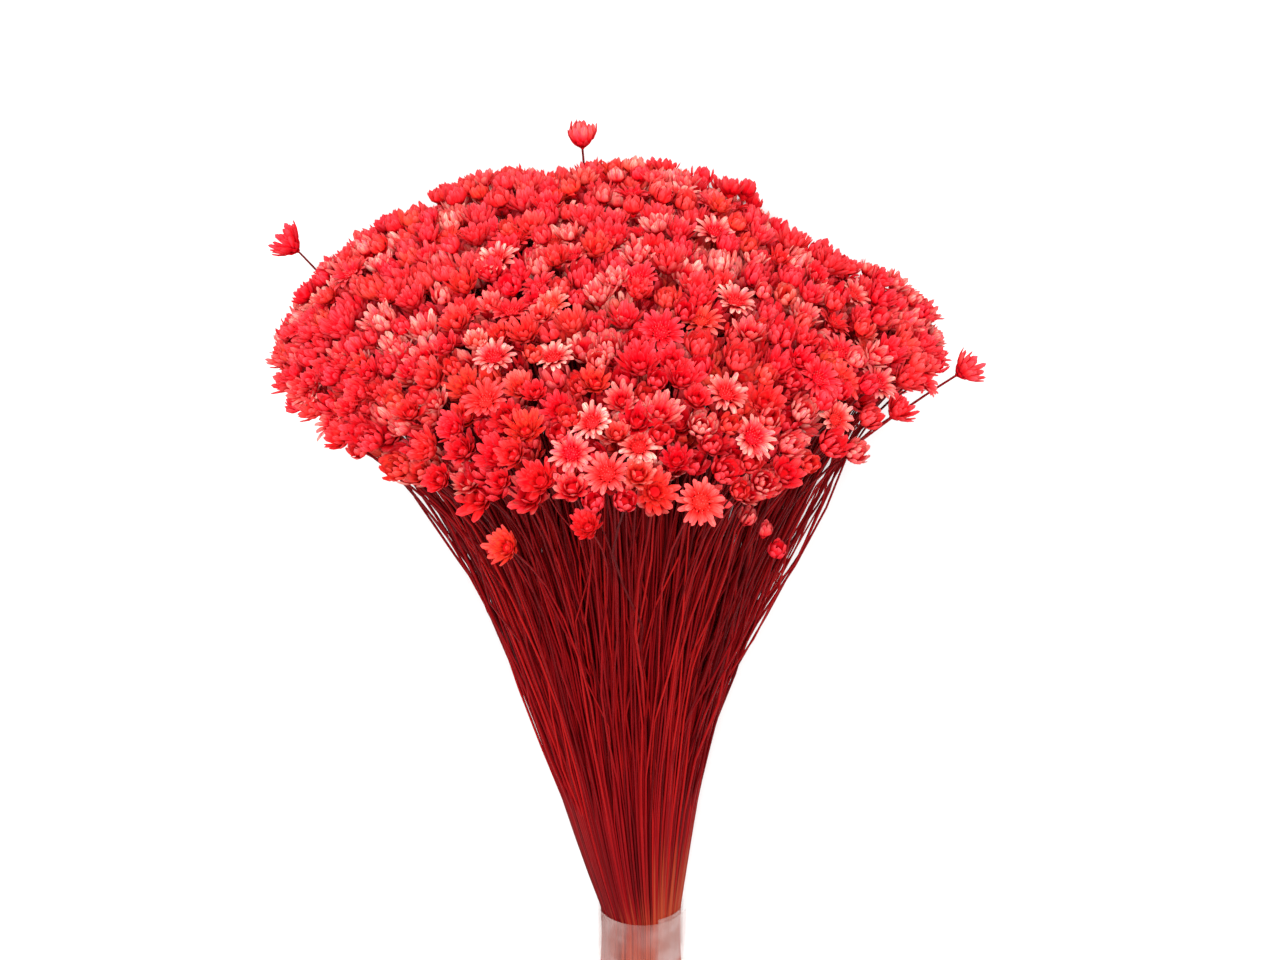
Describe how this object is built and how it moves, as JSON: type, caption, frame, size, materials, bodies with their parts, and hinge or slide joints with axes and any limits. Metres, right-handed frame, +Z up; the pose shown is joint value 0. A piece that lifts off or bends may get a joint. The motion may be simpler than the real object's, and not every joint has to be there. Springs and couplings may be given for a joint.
{
  "type": "bunch of dried star flowers",
  "caption": "Bunch of small dried star flowers on thin bare stems, dyed red, held by a band of clear tape and lying on its back.",
  "frame": {"origin": "middle of the patch of surface that the bunch covers, at the surface", "axes": "+Z up, +Y from the cut ends towards the flowers, +X to the right when looking along +Y"},
  "size_m": [0.1824, 0.267, 0.1508],
  "materials": {
    "flower": "dry, dyed red",
    "stem": "dry, dyed dark red",
    "tape": "clear and glossy"
  },
  "bodies": {
    "root": {"sprig_01": "flower", "sprig_02": "flower", "sprig_03": "flower", "sprig_04": "flower", "sprig_05": "flower", "sprig_06": "flower", "sprig_07": "flower", "sprig_08": "flower", "sprig_09": "flower", "sprig_10": "flower", "sprig_11": "flower", "sprig_12": "flower", "sprig_13": "flower", "sprig_14": "flower", "sprig_15": "flower", "sprig_16": "flower", "sprig_17": "flower", "sprig_18": "flower", "sprig_19": "flower", "sprig_20": "flower", "sprig_21": "flower", "sprig_22": "flower", "sprig_23": "flower", "sprig_24": "flower", "sprig_25": "flower", "sprig_26": "flower", "sprig_27": "flower", "sprig_28": "flower", "sprig_29": "flower", "sprig_30": "flower", "sprig_31": "flower", "sprig_32": "flower", "sprig_33": "flower", "sprig_34": "flower", "sprig_35": "flower", "sprig_36": "flower", "sprig_37": "flower", "sprig_38": "flower", "sprig_39": "flower", "sprig_40": "flower", "sprig_41": "flower", "sprig_42": "flower", "sprig_43": "flower", "sprig_44": "flower", "sprig_45": "flower", "sprig_46": "flower", "sprig_47": "flower", "sprig_48": "flower", "sprig_49": "flower", "sprig_50": "flower", "sprig_51": "flower", "sprig_52": "flower", "sprig_53": "flower", "sprig_54": "flower", "sprig_55": "flower", "sprig_56": "flower", "sprig_57": "flower", "sprig_58": "flower", "tape_band": "tape"}
  },
  "joints": []
}
